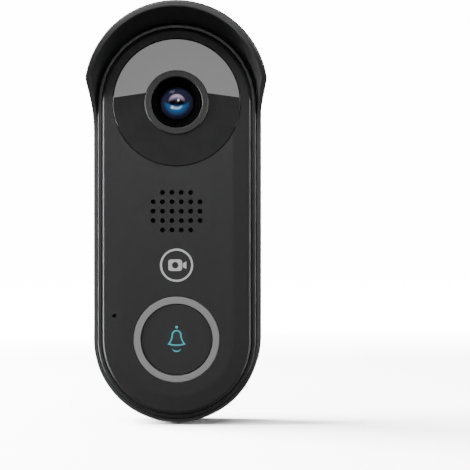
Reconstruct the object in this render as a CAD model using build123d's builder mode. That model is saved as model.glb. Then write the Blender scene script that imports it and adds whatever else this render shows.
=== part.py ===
"""Video doorbell in a wall-mounted rain cover, every piece its own solid, in millimetres.

+Z is up, +X is to the right as seen from the street, and the front faces -Y.  The origin lies on the
wall, midway between the two ends of the pill-shaped body.  "Depth" is the distance in front of the wall.
"""
import os

from build123d import *

os.makedirs("parts", exist_ok=True)

# ---------------------------------------------------------------- driving dimensions
END_CENTRES = 85.7  # between the centres of the two round ends
COVER_R = 27.0  # front cover, half its width
CASE_PROUD = 1.8  # how far the rear case stands out round the front cover
CASE_R = COVER_R + CASE_PROUD
COVER_FACE = 28.6  # depth of the front cover's face
CASE_RIM = COVER_FACE - 3.0  # depth of the rear case's front edge
FIT_GAP = 0.2  # between a piece and the opening it drops into

# rain cover
TRAY_FLOOR = 2.4
TRAY_RIM = CASE_RIM - 1.2  # depth of the tray's front edge
TRAY_WALL = 1.2  # at that edge
TRAY_DRAFT = 1.9  # degrees
HOOD_REACH = 15.0  # in front of the front cover
HOOD_FLARE = 2.1  # how much wider the lip is than the tray's edge
HOOD_SWELL = 2.8  # and how much wider the hood is halfway out, where it is widest
HOOD_RISE = 2.5  # how much higher the lip's arc is centred
HOOD_CREST = 3.4  # and the arc halfway out
HOOD_LIP = 2.0  # thickness
HOOD_LOW = -11.5  # where the lip leaves the tray, from the window's centre
HOOD_HIGH = 28.0  # where it reaches its full depth
LIP_ROUND = 0.45
WALL_SCREWS = END_CENTRES + 4.3  # hole to hole
WALL_SCREW_R = 2.2
WALL_SCREW_HEAD_R = 4.0
CABLE_HOLE = (22.0, 11.0)
CABLE_Z = -10.0

# shells
CASE_BACK = 2.0
CASE_WALL = 3.0
RIM_WALL = 1.5
CASE_STEP = CASE_RIM - 4.0  # depth of the ledge that carries the gasket
GASKET = 0.8
COVER_SHEET = 2.6
SKIRT_WALL = 1.6
CROWN_WIDE = 6.5
CROWN_DROP = 0.7
EDGE_ROUND = 1.4
CASE_SCREW_BITE = 6.0  # past the boss's end

# camera window and camera
WINDOW_R = COVER_R - 4.0
WINDOW_SHEET = 1.5
WINDOW_SINK = 0.1
WINDOW_LEDGE = WINDOW_R - 2.2
GLUE = 0.2
BEZEL_R = 11.55
BEZEL_HOLE_R = BEZEL_R - 2.35
BEZEL_PROUD = 0.6
BARREL_HOOD_R = BEZEL_HOLE_R - 0.1
BARREL_R = BARREL_HOOD_R - 2.1
LENS_R = BARREL_R - 1.1
LENS_DOME = 1.6
LENS_EDGE = COVER_FACE - 3.6
LENS_SEAT = LENS_EDGE - 2.5
STOP_R = 3.6
REAR_LENS_R = 4.6
REAR_LENS_TOP = 18.0
BARREL_END = 14.0
BARREL_NECK = LENS_SEAT - 1.0
BARREL_FACE = COVER_FACE - 0.2
MOUNT_H = 17.4
MOUNT_TOP = 14.1
MOUNT_WALL = 1.2
FILTER_EDGE = 0.8
FILTER_BACK = 11.4
FILTER_FRONT = 12.6
CAMERA_BOARD = 8.6
CAMERA_BOARD_R = WINDOW_R - 3.8
BOARD = 1.2  # thickness of each printed board
FILTER_PANE = 5.0
FILTER_TRAVEL = 6.2

# button
RING_R = 15.5
RING_HOLE_R = RING_R - 2.45
CAP_R = RING_HOLE_R - FIT_GAP
CAP_SINK = 0.3
CAP_SHEET = 2.0
CAP_SKIRT = 1.4
CAP_FLANGE_R = RING_R - 1.3
CAP_TRAVEL = 0.5
POST_R = 2.2
BUTTON_BOARD = 17.0
SWITCH_TOP = 21.7
PLUNGER_R = 1.75
PLUNGER_OUT = CAP_TRAVEL + 0.3
BUTTON_BOARD_R = RING_R + 0.3
SWITCH_W = 6.0
RING_LAMP_CIRCLE = RING_R - 1.2
SPRING_R = 6.0
SPRING_WIRE = 0.35
SPRING_TURNS = 4.5
BELL_LINE = 0.5
BELL_INLAY = 0.6

# speaker, microphone and sign
HOLE_PITCH = 3.39
HOLE_R = 0.875
SPEAKER_DROP = 39.3  # below the window's centre
SPEAKER_R = 12.0
SPEAKER_H = 6.7
CONE_TRAVEL = 0.3
MIC_BOOT_R = 1.9
MIC_X = 4.5 - COVER_R
MIC_RISE = 8.6  # above the button's centre
MIC_HOLE_R = 0.7
SIGN_RISE = 26.9  # above the button's centre
SIGN_R = 6.0
SIGN_LINE = 0.75
INK = 0.05

# boards and fixings
MAIN_BOARD = 12.0
BOARDS_APART = 4.65  # between the camera board and the main board, seen from the front
SCREW_R = 0.9
SCREW_HEAD_R = 1.8
BOSS_R = 2.4
SECURITY_R = 1.25
SECURITY_HEAD_R = 2.6
SECURITY_DEPTH = 13.0
SECURITY_IN = 3.4  # how far its shank reaches into the rear case's wall
TERMINAL_W = 22.0
TERMINAL_H = 9.0
TERMINAL_SINK = 1.0
TERMINAL_HEAD_R = 2.9
TERMINAL_PITCH = (-5.5, 5.5)
RESET_TIP = 9.0
RIBBON = 0.3
RESET_R = 2.5
RESET_TRAVEL = 0.4
VENT_HOLE_R = 1.0
RIM_ROUND = 0.7
CROWN_ROUND = 12.0

# ---------------------------------------------------------------- places that follow from them
WINDOW_Z = END_CENTRES / 2
BUTTON_Z = -END_CENTRES / 2
SPEAKER_Z = WINDOW_Z - SPEAKER_DROP
MIC_Z = BUTTON_Z + MIC_RISE
SIGN_Z = BUTTON_Z + SIGN_RISE
CASE_HOLLOW_R = CASE_R - CASE_WALL
MAIN_BOARD_R = CASE_HOLLOW_R - 1.4
MAIN_BOARD_TOP = WINDOW_Z - CAMERA_BOARD_R - BOARDS_APART
CASE_FLOOR = TRAY_FLOOR + CASE_BACK
RIM_HOLE_R = CASE_R - RIM_WALL
TRAY_HOLE_R = CASE_R + FIT_GAP
COVER_BACK = COVER_FACE - COVER_SHEET
LAMP_BOARD = COVER_BACK - 2.0
CAP_END = COVER_BACK - 2.4
SPEAKER_FACE = COVER_BACK - 1.8
SPEAKER_BACK = SPEAKER_FACE - SPEAKER_H
CONE_FACE = SPEAKER_FACE - CONE_TRAVEL
SKIRT_END = CASE_STEP + GASKET
SKIRT_HOLE_R = COVER_R - SKIRT_WALL
LIP_DEPTH = COVER_FACE + HOOD_REACH
WINDOW_FACE = COVER_FACE - WINDOW_SINK
WINDOW_BACK = WINDOW_FACE - WINDOW_SHEET
CAP_FACE = COVER_FACE - CAP_SINK
CAP_BACK = CAP_FACE - CAP_SHEET
POST_END = SWITCH_TOP + PLUNGER_OUT
SWITCH_SEAT = BUTTON_BOARD + BOARD
BEZEL_BACK = WINDOW_BACK - 1.2
MOUNT_W = 2 * (FILTER_TRAVEL + FILTER_PANE / 2 + FILTER_EDGE + 0.3 + MOUNT_WALL)
HOLE_ROWS = ((2, 4), (1, 6), (0, 6), (-1, 6), (-2, 4))
SOUND_HOLES = [
    ((column - (count - 1) / 2) * HOLE_PITCH, SPEAKER_Z + row * HOLE_PITCH)
    for row, count in HOLE_ROWS
    for column in range(count)
]
MAIN_FRONT = MAIN_BOARD + BOARD
CAMERA_FRONT = CAMERA_BOARD + BOARD
BOSS_END = CASE_FLOOR + 1.2
TOP_BOSS = (WINDOW_LEDGE + SKIRT_HOLE_R) / 2 - 0.7
SECURITY_FACE = BUTTON_Z - TRAY_HOLE_R - TRAY_WALL - 0.1
SECURITY_HEAD_TOP = SECURITY_FACE + SECURITY_HEAD_R - SECURITY_R
SECURITY_TOP = BUTTON_Z - CASE_R + SECURITY_IN
TERMINAL_BACK = TRAY_FLOOR + TERMINAL_SINK
CASE_SCREWS = [
    (side * x, z)
    for side in (-1, 1)
    for x, z in (
        (TOP_BOSS * 0.707, WINDOW_Z + TOP_BOSS * 0.707),
        (SKIRT_HOLE_R - 4.1, SPEAKER_Z - 15.0),
        (11.0, BUTTON_Z - SKIRT_HOLE_R + 6.0),
    )
]
BOARD_SCREWS = [
    (side * (CASE_HOLLOW_R - inset), z)
    for inset, z in ((8.8, 10.0), (7.3, BUTTON_Z - 8.0))
    for side in (-1, 1)
]
CAMERA_SCREWS = [(-14.0, WINDOW_Z - 9.0), (14.0, WINDOW_Z - 9.0)]
RESET_AT = (12.0, 6.0)
VENT_AT = (-12.0, 6.0)
LAMP_COUNT = 6
LAMP_CIRCLE = WINDOW_R - 6.4
RING_LAMPS = 8


# ---------------------------------------------------------------- shapes that repeat
def facing(depth):
    """The plane that many profiles lie on: parallel to the wall, looking out to the street."""
    return Plane.XZ.offset(depth)


def pill(radius, start, end, mode=Mode.ADD, taper=0.0, rise=0.0):
    """A pill-shaped slab between two depths."""
    with BuildSketch(facing(start)) as outline:
        with Locations((0, rise / 2)):
            SlotCenterToCenter(END_CENTRES + rise, 2 * radius, rotation=90)
    extrude(outline.sketch, amount=end - start, taper=taper, mode=mode)


def disc(centre, radius, start, end, mode=Mode.ADD):
    """A round slab between two depths."""
    with BuildSketch(facing(start)) as outline:
        with Locations(centre):
            Circle(radius)
    extrude(outline.sketch, amount=end - start, mode=mode)


def block(centre, width, height, start, end, mode=Mode.ADD, corner=0.0):
    """A rectangular slab between two depths, with rounded corners if asked."""
    with BuildSketch(facing(start)) as outline:
        with Locations(centre):
            if corner:
                RectangleRounded(width, height, corner)
            else:
                Rectangle(width, height)
    extrude(outline.sketch, amount=end - start, mode=mode)


def turned(centre, profile, mode=Mode.ADD):
    """A turned shape about a front-facing axis, from (radius, depth) points in order."""
    x, z = centre
    with BuildSketch(Plane((x, 0, z), x_dir=(1, 0, 0), z_dir=(0, 0, 1))) as section:
        with BuildLine():
            Polyline([(radius, -depth) for radius, depth in profile], close=True)
        make_face()
    revolve(section.sketch, axis=Axis((x, 0, z), (0, 1, 0)), mode=mode)


def turned_down(depth, top, profile, mode=Mode.ADD):
    """A turned shape about an upright axis, from (radius, height above the top) points in order."""
    with BuildSketch(Plane((0, -depth, top), x_dir=(1, 0, 0), z_dir=(0, -1, 0))) as section:
        with BuildLine():
            Polyline([(radius, height) for radius, height in profile], close=True)
        make_face()
    revolve(section.sketch, axis=Axis((0, -depth, top), (0, 0, 1)), mode=mode)


def around(centre, radius, count, start=0.0):
    """Evenly spaced places on a circle."""
    arm = Vector(radius, 0)
    return [
        (centre[0] + spoke.X, centre[1] + spoke.Y)
        for spoke in (arm.rotate(Axis.Z, start + 360 * step / count) for step in range(count))
    ]


def flat_edges(builder, depth):
    """The edges that lie wholly at one depth."""
    return builder.edges().filter_by(
        lambda edge: abs(edge.center().Y + depth) < 1e-3 and edge.bounding_box().size.Y < 1e-3
    )


def finish(builder, name):
    """Label a finished piece and write it out."""
    builder.part.label = name
    export_step(builder.part, f"parts/{name}.step")


# ---------------------------------------------------------------- rain cover
with BuildPart() as rain_cover:
    rim_r = TRAY_HOLE_R + TRAY_WALL
    with BuildSketch(facing(TRAY_RIM)) as tray_edge:
        SlotCenterToCenter(END_CENTRES, 2 * rim_r, rotation=90)
    extrude(tray_edge.sketch, amount=-TRAY_RIM, taper=-TRAY_DRAFT)
    with BuildSketch(facing(LIP_DEPTH)) as lip_edge:
        with Locations((0, HOOD_RISE / 2)):
            SlotCenterToCenter(END_CENTRES + HOOD_RISE, 2 * (rim_r + HOOD_FLARE), rotation=90)
    with BuildSketch(facing((TRAY_RIM + LIP_DEPTH) / 2)) as widest:
        with Locations((0, HOOD_CREST / 2)):
            SlotCenterToCenter(END_CENTRES + HOOD_CREST, 2 * (rim_r + HOOD_SWELL), rotation=90)
    loft([tray_edge.sketch.face(), widest.sketch.face(), lip_edge.sketch.face()], ruled=True)
    with BuildSketch(facing(TRAY_RIM)) as mouth:
        SlotCenterToCenter(END_CENTRES, 2 * TRAY_HOLE_R, rotation=90)
    with BuildSketch(facing(LIP_DEPTH)) as lip_mouth:
        with Locations((0, HOOD_RISE / 2)):
            SlotCenterToCenter(END_CENTRES + HOOD_RISE, 2 * (rim_r + HOOD_FLARE - HOOD_LIP), rotation=90)
    with BuildSketch(facing((TRAY_RIM + LIP_DEPTH) / 2)) as widest_mouth:
        with Locations((0, HOOD_CREST / 2)):
            SlotCenterToCenter(END_CENTRES + HOOD_CREST, 2 * (rim_r + HOOD_SWELL - HOOD_LIP), rotation=90)
    loft([mouth.sketch.face(), widest_mouth.sketch.face(), lip_mouth.sketch.face()], ruled=True,
         mode=Mode.SUBTRACT)
    pill(TRAY_HOLE_R, TRAY_FLOOR, TRAY_RIM, mode=Mode.SUBTRACT)

    side_low = WINDOW_Z + HOOD_LOW
    side_high = WINDOW_Z + HOOD_HIGH
    side_pull = (side_high - side_low) / 2
    clear_of_all = 2 * CASE_R
    with BuildSketch(Plane.YZ) as front_cut:
        with BuildLine():
            side_line = Bezier(
                (-TRAY_RIM, side_low),
                (-TRAY_RIM, side_low + side_pull),
                (-LIP_DEPTH, side_high - side_pull),
                (-LIP_DEPTH, side_high),
            )
            Polyline(
                side_line @ 1,
                (-LIP_DEPTH - 1, side_high),
                (-LIP_DEPTH - 1, BUTTON_Z - clear_of_all),
                (-TRAY_RIM, BUTTON_Z - clear_of_all),
                side_line @ 0,
            )
        make_face()
    extrude(front_cut.sketch, amount=clear_of_all, both=True, mode=Mode.SUBTRACT)
    fillet(flat_edges(rain_cover, LIP_DEPTH), LIP_ROUND)

    with Locations(facing(TRAY_FLOOR)):
        with Locations((0, WALL_SCREWS / 2), (0, -WALL_SCREWS / 2)):
            CounterSinkHole(WALL_SCREW_R, WALL_SCREW_HEAD_R, depth=TRAY_FLOOR, counter_sink_angle=90)
    block((0, CABLE_Z), *CABLE_HOLE, -1, TRAY_FLOOR + 1, mode=Mode.SUBTRACT, corner=2.0)
    turned_down(SECURITY_DEPTH, SECURITY_TOP, [
        (0, 0),
        (SECURITY_R + FIT_GAP, 0),
        (SECURITY_R + FIT_GAP, SECURITY_HEAD_TOP - SECURITY_TOP),
        (SECURITY_HEAD_R, SECURITY_FACE - SECURITY_TOP),
        (SECURITY_HEAD_R, SECURITY_FACE - SECURITY_TOP - 3),
        (0, SECURITY_FACE - SECURITY_TOP - 3),
    ], mode=Mode.SUBTRACT)
finish(rain_cover, "rain_cover")

with BuildPart() as security_screw:
    turned_down(SECURITY_DEPTH, SECURITY_TOP, [
        (0, 0),
        (SECURITY_R, -0.4),
        (SECURITY_R, SECURITY_HEAD_TOP - SECURITY_TOP),
        (SECURITY_HEAD_R, SECURITY_FACE - SECURITY_TOP),
        (0, SECURITY_FACE - SECURITY_TOP),
    ])
    with BuildSketch(Plane.XY.offset(SECURITY_FACE)) as star_socket:
        with Locations((0, -SECURITY_DEPTH)):
            RegularPolygon(0.9, 6)
            RegularPolygon(0.9, 6, rotation=30)
    extrude(star_socket.sketch, amount=0.9, mode=Mode.SUBTRACT)
finish(security_screw, "security_screw")


# ---------------------------------------------------------------- doorbell shells
with BuildPart() as rear_case:
    pill(CASE_R, TRAY_FLOOR, CASE_RIM)
    fillet(flat_edges(rear_case, CASE_RIM), RIM_ROUND)
    pill(CASE_HOLLOW_R, CASE_FLOOR, CASE_RIM, mode=Mode.SUBTRACT)
    pill(RIM_HOLE_R, CASE_STEP, CASE_RIM, mode=Mode.SUBTRACT)
    for place in BOARD_SCREWS:
        disc(place, BOSS_R, CASE_FLOOR, MAIN_BOARD)
        disc(place, SCREW_R, CASE_FLOOR + 1, MAIN_BOARD, mode=Mode.SUBTRACT)
    for place in CAMERA_SCREWS:
        disc(place, BOSS_R, CASE_FLOOR, CAMERA_BOARD)
        disc(place, SCREW_R, CASE_FLOOR, CAMERA_BOARD, mode=Mode.SUBTRACT)
    for place in CASE_SCREWS:
        disc(place, BOSS_R + 0.8, CASE_FLOOR, BOSS_END)
        disc(place, SCREW_R + FIT_GAP, TRAY_FLOOR, BOSS_END, mode=Mode.SUBTRACT)
        disc(place, SCREW_HEAD_R + FIT_GAP, TRAY_FLOOR, TRAY_FLOOR + 1.6, mode=Mode.SUBTRACT)
    block((0, CABLE_Z), TERMINAL_W + 2 * FIT_GAP, TERMINAL_H + 2 * FIT_GAP, TRAY_FLOOR, CASE_FLOOR,
          mode=Mode.SUBTRACT)
    disc(RESET_AT, RESET_R + FIT_GAP / 2, TRAY_FLOOR, CASE_FLOOR, mode=Mode.SUBTRACT)
    disc(VENT_AT, VENT_HOLE_R, TRAY_FLOOR, CASE_FLOOR, mode=Mode.SUBTRACT)
    for z in (WALL_SCREWS / 2, -WALL_SCREWS / 2):
        disc((0, z), WALL_SCREW_HEAD_R + 1.0, TRAY_FLOOR, TRAY_FLOOR + 1.0, mode=Mode.SUBTRACT)
    turned_down(SECURITY_DEPTH, SECURITY_TOP, [
        (0, 1),
        (SECURITY_R, 1),
        (SECURITY_R, SECURITY_FACE - SECURITY_TOP),
        (0, SECURITY_FACE - SECURITY_TOP),
    ], mode=Mode.SUBTRACT)
finish(rear_case, "rear_case")

with BuildPart() as case_gasket:
    pill(COVER_R - FIT_GAP, CASE_STEP, SKIRT_END)
    pill(CASE_HOLLOW_R, CASE_STEP, SKIRT_END, mode=Mode.SUBTRACT)
finish(case_gasket, "case_gasket")

with BuildPart() as front_cover:
    crown_start = COVER_FACE - CROWN_DROP
    pill(COVER_R, SKIRT_END, crown_start)
    with BuildSketch(facing(crown_start)) as crown_foot:
        SlotCenterToCenter(END_CENTRES, 2 * COVER_R, rotation=90)
    with BuildSketch(facing(COVER_FACE)) as crown_top:
        SlotCenterToCenter(END_CENTRES, 2 * (COVER_R - CROWN_WIDE), rotation=90)
    loft([crown_foot.sketch.face(), crown_top.sketch.face()])
    fillet(flat_edges(front_cover, crown_start), EDGE_ROUND)
    fillet(flat_edges(front_cover, COVER_FACE), CROWN_ROUND)
    pill(SKIRT_HOLE_R, SKIRT_END, COVER_BACK, mode=Mode.SUBTRACT)
    disc((0, WINDOW_Z), WINDOW_LEDGE, COVER_BACK, COVER_FACE, mode=Mode.SUBTRACT)
    disc((0, WINDOW_Z), WINDOW_R + FIT_GAP, WINDOW_BACK - GLUE, COVER_FACE, mode=Mode.SUBTRACT)
    disc((0, BUTTON_Z), RING_R + FIT_GAP / 2, COVER_BACK, COVER_FACE, mode=Mode.SUBTRACT)
    with BuildSketch(facing(COVER_BACK)) as sound_holes:
        with Locations(*SOUND_HOLES):
            Circle(HOLE_R)
        with Locations((MIC_X, MIC_Z)):
            Circle(MIC_HOLE_R)
    extrude(sound_holes.sketch, amount=COVER_SHEET, mode=Mode.SUBTRACT)
    for place in CASE_SCREWS:
        disc(place, BOSS_R, BOSS_END, COVER_BACK)
        disc(place, SCREW_R, BOSS_END, COVER_BACK - 1.0, mode=Mode.SUBTRACT)
finish(front_cover, "front_cover")

with BuildPart() as case_screws:
    for place in CASE_SCREWS:
        disc(place, SCREW_HEAD_R, TRAY_FLOOR + 0.4, TRAY_FLOOR + 1.6)
        disc(place, SCREW_R, TRAY_FLOOR + 1.6, BOSS_END + CASE_SCREW_BITE)
        disc(place, 0.7, TRAY_FLOOR + 0.4, TRAY_FLOOR + 1.1, mode=Mode.SUBTRACT)
finish(case_screws, "case_screws")

with BuildPart() as vent_membrane:
    disc(VENT_AT, 3 * VENT_HOLE_R, CASE_FLOOR, CASE_FLOOR + 0.3)
finish(vent_membrane, "vent_membrane")

with BuildPart() as front_sign:
    with BuildSketch(facing(COVER_FACE)) as mark:
        with Locations((0, SIGN_Z)):
            Circle(SIGN_R)
            Circle(SIGN_R - SIGN_LINE, mode=Mode.SUBTRACT)
        with Locations((-0.5, SIGN_Z)):
            RectangleRounded(5.0, 4.2, 1.0)
            Circle(1.15, mode=Mode.SUBTRACT)
        with Locations((2.9, SIGN_Z)):
            Trapezoid(2.8, 1.3, 60, rotation=90)
    extrude(mark.sketch, amount=INK)
finish(front_sign, "front_sign")


# ---------------------------------------------------------------- camera window and infrared lamps
with BuildPart() as camera_window:
    disc((0, WINDOW_Z), WINDOW_R, WINDOW_BACK, WINDOW_FACE)
    fillet(flat_edges(camera_window, WINDOW_FACE), 0.25)
    disc((0, WINDOW_Z), BEZEL_R + FIT_GAP / 2, WINDOW_BACK, WINDOW_FACE, mode=Mode.SUBTRACT)
finish(camera_window, "camera_window")

with BuildPart() as window_adhesive:
    disc((0, WINDOW_Z), WINDOW_R, WINDOW_BACK - GLUE, WINDOW_BACK)
    disc((0, WINDOW_Z), WINDOW_LEDGE, WINDOW_BACK - GLUE, WINDOW_BACK, mode=Mode.SUBTRACT)
finish(window_adhesive, "window_adhesive")

with BuildPart() as lens_bezel:
    bezel_face = WINDOW_FACE + BEZEL_PROUD
    turned((0, WINDOW_Z), [
        (BEZEL_HOLE_R, BEZEL_BACK),
        (BEZEL_R + 0.8, BEZEL_BACK),
        (BEZEL_R + 0.8, WINDOW_BACK),
        (BEZEL_R, WINDOW_BACK),
        (BEZEL_R, bezel_face - 0.3),
        (BEZEL_R - 0.3, bezel_face),
        (BEZEL_HOLE_R + 0.3, bezel_face),
        (BEZEL_HOLE_R, bezel_face - 0.3),
    ])
finish(lens_bezel, "lens_bezel")

with BuildPart() as infrared_board:
    disc((0, WINDOW_Z), WINDOW_LEDGE - 1.2, LAMP_BOARD, LAMP_BOARD + 1.0)
    disc((0, WINDOW_Z), BEZEL_R + 1.2, LAMP_BOARD, LAMP_BOARD + 1.0, mode=Mode.SUBTRACT)
finish(infrared_board, "infrared_board")

with BuildPart() as infrared_lamps:
    for place in around((0, WINDOW_Z), LAMP_CIRCLE, LAMP_COUNT):
        block(place, 2.8, 2.8, LAMP_BOARD + 1.0, LAMP_BOARD + 1.6, corner=0.3)
        disc(place, 1.1, LAMP_BOARD + 1.6, LAMP_BOARD + 2.2)
    fillet(flat_edges(infrared_lamps, LAMP_BOARD + 2.2), 0.5)
finish(infrared_lamps, "infrared_lamps")

with BuildPart() as light_sensor:
    block((0, WINDOW_Z - LAMP_CIRCLE), 2.0, 1.4, LAMP_BOARD + 1.0, LAMP_BOARD + 1.8)
finish(light_sensor, "light_sensor")


# ---------------------------------------------------------------- camera module
with BuildPart() as lens_barrel:
    turned((0, WINDOW_Z), [
        (STOP_R, LENS_SEAT),
        (STOP_R, REAR_LENS_TOP),
        (REAR_LENS_R, REAR_LENS_TOP),
        (REAR_LENS_R, BARREL_END),
        (BARREL_R, BARREL_END),
        (BARREL_R, BARREL_NECK),
        (BARREL_HOOD_R, BARREL_NECK),
        (BARREL_HOOD_R, BARREL_FACE),
        (BARREL_HOOD_R - 0.5, BARREL_FACE),
        (BARREL_HOOD_R - 1.0, BARREL_FACE - 0.8),
        (BARREL_HOOD_R - 1.6, BARREL_FACE - 0.8),
        (BARREL_HOOD_R - 2.2, LENS_EDGE + 0.5),
        (LENS_R + 0.05, LENS_EDGE + 0.5),
        (LENS_R + 0.05, LENS_SEAT),
    ])
finish(lens_barrel, "lens_barrel")

with BuildPart() as front_lens:
    dome_r = (LENS_R**2 + LENS_DOME**2) / (2 * LENS_DOME)
    with BuildSketch(Plane((0, 0, WINDOW_Z), x_dir=(1, 0, 0), z_dir=(0, 0, 1))) as lens_section:
        with BuildLine():
            Line((0, -LENS_SEAT), (LENS_R, -LENS_SEAT))
            Line((LENS_R, -LENS_SEAT), (LENS_R, -LENS_EDGE))
            RadiusArc((LENS_R, -LENS_EDGE), (0, -LENS_EDGE - LENS_DOME), dome_r)
            Line((0, -LENS_EDGE - LENS_DOME), (0, -LENS_SEAT))
        make_face()
    revolve(lens_section.sketch, axis=Axis((0, 0, WINDOW_Z), (0, 1, 0)))
finish(front_lens, "front_lens")

with BuildPart() as rear_lens:
    disc((0, WINDOW_Z), REAR_LENS_R - 0.05, BARREL_END + 0.6, REAR_LENS_TOP)
    chamfer(flat_edges(rear_lens, REAR_LENS_TOP), 0.4)
finish(rear_lens, "rear_lens")

with BuildPart() as lens_mount:
    slot_h = FILTER_PANE + 2 * FILTER_EDGE + FIT_GAP
    block((0, WINDOW_Z), MOUNT_W, MOUNT_H, CAMERA_FRONT, MOUNT_TOP)
    disc((0, WINDOW_Z), BARREL_R + 1.5, MOUNT_TOP, BARREL_NECK - FIT_GAP)
    block((0, WINDOW_Z), 8.4, 8.4, CAMERA_FRONT, FILTER_BACK - 0.1, mode=Mode.SUBTRACT)
    block((0, WINDOW_Z), MOUNT_W - 2 * MOUNT_WALL, slot_h, FILTER_BACK - 0.1, FILTER_FRONT + 0.1,
          mode=Mode.SUBTRACT)
    disc((0, WINDOW_Z), REAR_LENS_R, FILTER_FRONT, BARREL_END, mode=Mode.SUBTRACT)
    disc((0, WINDOW_Z), BARREL_R + 0.05, BARREL_END, BARREL_NECK - FIT_GAP, mode=Mode.SUBTRACT)
finish(lens_mount, "lens_mount")

with BuildPart() as filter_frame:
    pane_edge = FILTER_PANE + 2 * FILTER_EDGE
    block((FILTER_TRAVEL / 2, WINDOW_Z), FILTER_TRAVEL + pane_edge, pane_edge, FILTER_BACK, FILTER_FRONT)
    for pane_x in (0, FILTER_TRAVEL):
        block((pane_x, WINDOW_Z), FILTER_PANE, FILTER_PANE, FILTER_BACK, FILTER_FRONT, mode=Mode.SUBTRACT)
finish(filter_frame, "filter_frame")

with BuildPart() as infrared_filter:
    block((0, WINDOW_Z), FILTER_PANE, FILTER_PANE, FILTER_BACK + 0.2, FILTER_FRONT - 0.2)
finish(infrared_filter, "infrared_filter")

with BuildPart() as clear_pane:
    block((FILTER_TRAVEL, WINDOW_Z), FILTER_PANE, FILTER_PANE, FILTER_BACK + 0.2, FILTER_FRONT - 0.2)
finish(clear_pane, "clear_pane")

with BuildPart() as filter_coil:
    block((0, WINDOW_Z + MOUNT_H / 2 + 2.5), 9.0, 4.4, CAMERA_FRONT, CAMERA_FRONT + 3.6, corner=0.6)
finish(filter_coil, "filter_coil")

with BuildPart() as image_sensor:
    block((0, WINDOW_Z), 7.6, 6.8, CAMERA_FRONT, CAMERA_FRONT + 0.9)
finish(image_sensor, "image_sensor")

with BuildPart() as camera_board:
    disc((0, WINDOW_Z), CAMERA_BOARD_R, CAMERA_BOARD, CAMERA_FRONT)
    for place in CAMERA_SCREWS:
        disc(place, SCREW_R + FIT_GAP, CAMERA_BOARD, CAMERA_FRONT, mode=Mode.SUBTRACT)
finish(camera_board, "camera_board")


# ---------------------------------------------------------------- main board and what is on it
with BuildPart() as main_board:
    pill(MAIN_BOARD_R, MAIN_BOARD, MAIN_FRONT)
    block((0, MAIN_BOARD_TOP + 50), 60, 100, MAIN_BOARD, MAIN_FRONT, mode=Mode.SUBTRACT)
    for place in BOARD_SCREWS:
        disc(place, SCREW_R + FIT_GAP, MAIN_BOARD, MAIN_FRONT, mode=Mode.SUBTRACT)
    for place in CASE_SCREWS:
        disc(place, BOSS_R + 0.5, MAIN_BOARD, MAIN_FRONT, mode=Mode.SUBTRACT)
finish(main_board, "main_board")

with BuildPart() as board_screws:
    for places, front in ((BOARD_SCREWS, MAIN_FRONT), (CAMERA_SCREWS, CAMERA_FRONT)):
        for place in places:
            disc(place, SCREW_HEAD_R, front, front + 1.2)
            disc(place, SCREW_R, front - BOARD - 3.0, front)
            disc(place, 0.6, front + 0.5, front + 1.2, mode=Mode.SUBTRACT)
finish(board_screws, "board_screws")

with BuildPart() as processor:
    block((0, MAIN_BOARD_TOP - 7.0), 11.0, 11.0, MAIN_BOARD - 1.4, MAIN_BOARD, corner=0.4)
finish(processor, "processor")

with BuildPart() as radio_board:
    block((0, BUTTON_Z + 20.0), 18.0, 12.0, MAIN_BOARD - 0.8, MAIN_BOARD)
finish(radio_board, "radio_board")

with BuildPart() as radio_shield:
    block((0, BUTTON_Z + 20.0), 12.5, 10.5, MAIN_BOARD - 2.8, MAIN_BOARD - 0.8, corner=0.5)
    block((0, BUTTON_Z + 20.0), 12.1, 10.1, MAIN_BOARD - 2.6, MAIN_BOARD - 0.8, mode=Mode.SUBTRACT, corner=0.3)
finish(radio_shield, "radio_shield")

with BuildPart() as antenna:
    antenna_x = CASE_HOLLOW_R - 0.25
    block((antenna_x, 8.0), 0.5, 26.0, 6.0, 11.0)
finish(antenna, "antenna")

with BuildPart() as power_coil:
    block((-9.5, BUTTON_Z - 3.0), 8.0, 8.0, MAIN_BOARD - 4.0, MAIN_BOARD, corner=1.0)
finish(power_coil, "power_coil")

with BuildPart() as buffer_capacitors:
    for x in (4.0, 11.0):
        disc((x, BUTTON_Z - 3.0), 3.0, MAIN_BOARD - 6.2, MAIN_BOARD)
    fillet(flat_edges(buffer_capacitors, MAIN_BOARD - 6.2), 0.4)
finish(buffer_capacitors, "buffer_capacitors")

with BuildPart() as terminal_block:
    block((0, CABLE_Z), TERMINAL_W, TERMINAL_H, TERMINAL_BACK, MAIN_BOARD)
    for x in TERMINAL_PITCH:
        disc((x, CABLE_Z), TERMINAL_HEAD_R + FIT_GAP, TERMINAL_BACK, TERMINAL_BACK + 3.0, mode=Mode.SUBTRACT)
        disc((x, CABLE_Z), 1.5, TERMINAL_BACK, TERMINAL_BACK + 6.0, mode=Mode.SUBTRACT)
        block((x, CABLE_Z - 4.0), 2 * TERMINAL_HEAD_R, 2.4, TERMINAL_BACK, TERMINAL_BACK + 3.0,
              mode=Mode.SUBTRACT)
finish(terminal_block, "terminal_block")

with BuildPart() as terminal_screws:
    for x in TERMINAL_PITCH:
        disc((x, CABLE_Z), TERMINAL_HEAD_R, TERMINAL_BACK + 0.2, TERMINAL_BACK + 1.8)
        disc((x, CABLE_Z), 1.5, TERMINAL_BACK + 1.8, TERMINAL_BACK + 6.0)
        block((x, CABLE_Z), 2 * TERMINAL_HEAD_R, 0.8, TERMINAL_BACK + 0.2, TERMINAL_BACK + 0.9,
              mode=Mode.SUBTRACT)
finish(terminal_screws, "terminal_screws")

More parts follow.
